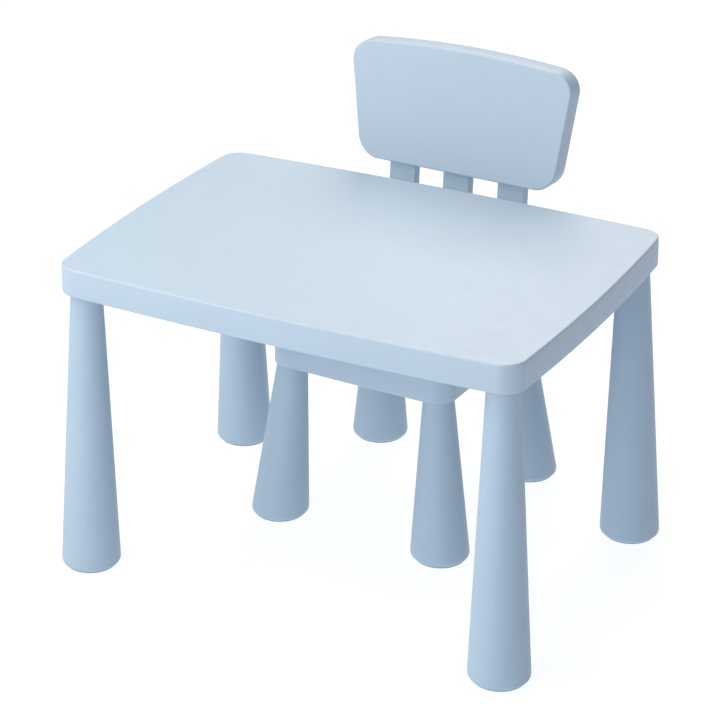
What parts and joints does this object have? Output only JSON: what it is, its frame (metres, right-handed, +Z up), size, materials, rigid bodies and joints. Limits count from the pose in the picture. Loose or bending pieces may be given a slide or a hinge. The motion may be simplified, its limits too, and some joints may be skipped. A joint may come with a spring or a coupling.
{
  "type": "kids table and chair",
  "caption": "Child's moulded plastic table on cone-shaped legs, with a matching chair tucked in behind it.",
  "frame": {"origin": "on the floor, under the middle of the set's overall box, with the chair where it stands tucked in behind the table", "axes": "+Z up, +X along the table's long side to the right, +Y from the table towards the chair's back, so the open long side of the table faces -Y"},
  "size_m": [0.7888, 0.6922, 0.7057],
  "materials": {
    "top_plastic": "satin moulded plastic with a very fine grain, pale blue",
    "leg_plastic": "satin moulded plastic, pale blue",
    "foot_plastic": "matte moulded plastic, a slightly darker blue",
    "screw_steel": "zinc-plated steel"
  },
  "bodies": {
    "table": {"table_top": "top_plastic", "table_leg_front_left": "leg_plastic", "table_leg_front_right": "leg_plastic", "table_leg_rear_left": "leg_plastic", "table_leg_rear_right": "leg_plastic", "table_foot_front_left": "foot_plastic", "table_foot_front_right": "foot_plastic", "table_foot_rear_left": "foot_plastic", "table_foot_rear_right": "foot_plastic", "table_leg_screws": "screw_steel"},
    "chair": {"chair_seat": "top_plastic", "chair_leg_front_left": "leg_plastic", "chair_leg_front_right": "leg_plastic", "chair_leg_rear_left": "leg_plastic", "chair_leg_rear_right": "leg_plastic", "chair_foot_front_left": "foot_plastic", "chair_foot_front_right": "foot_plastic", "chair_foot_rear_left": "foot_plastic", "chair_foot_rear_right": "foot_plastic", "chair_leg_screws": "screw_steel", "chair_post_left": "leg_plastic", "chair_post_middle": "leg_plastic", "chair_post_right": "leg_plastic", "chair_back_shell": "top_plastic", "chair_back_cover": "top_plastic", "chair_post_screws": "screw_steel", "chair_back_screws": "screw_steel"}
  },
  "joints": [
    {"name": "chair_slide", "type": "slide", "parent": "table", "child": "chair", "axis": [0.0349, 0.9994, 0], "range_m": [-0.05, 0.4]}
  ]
}
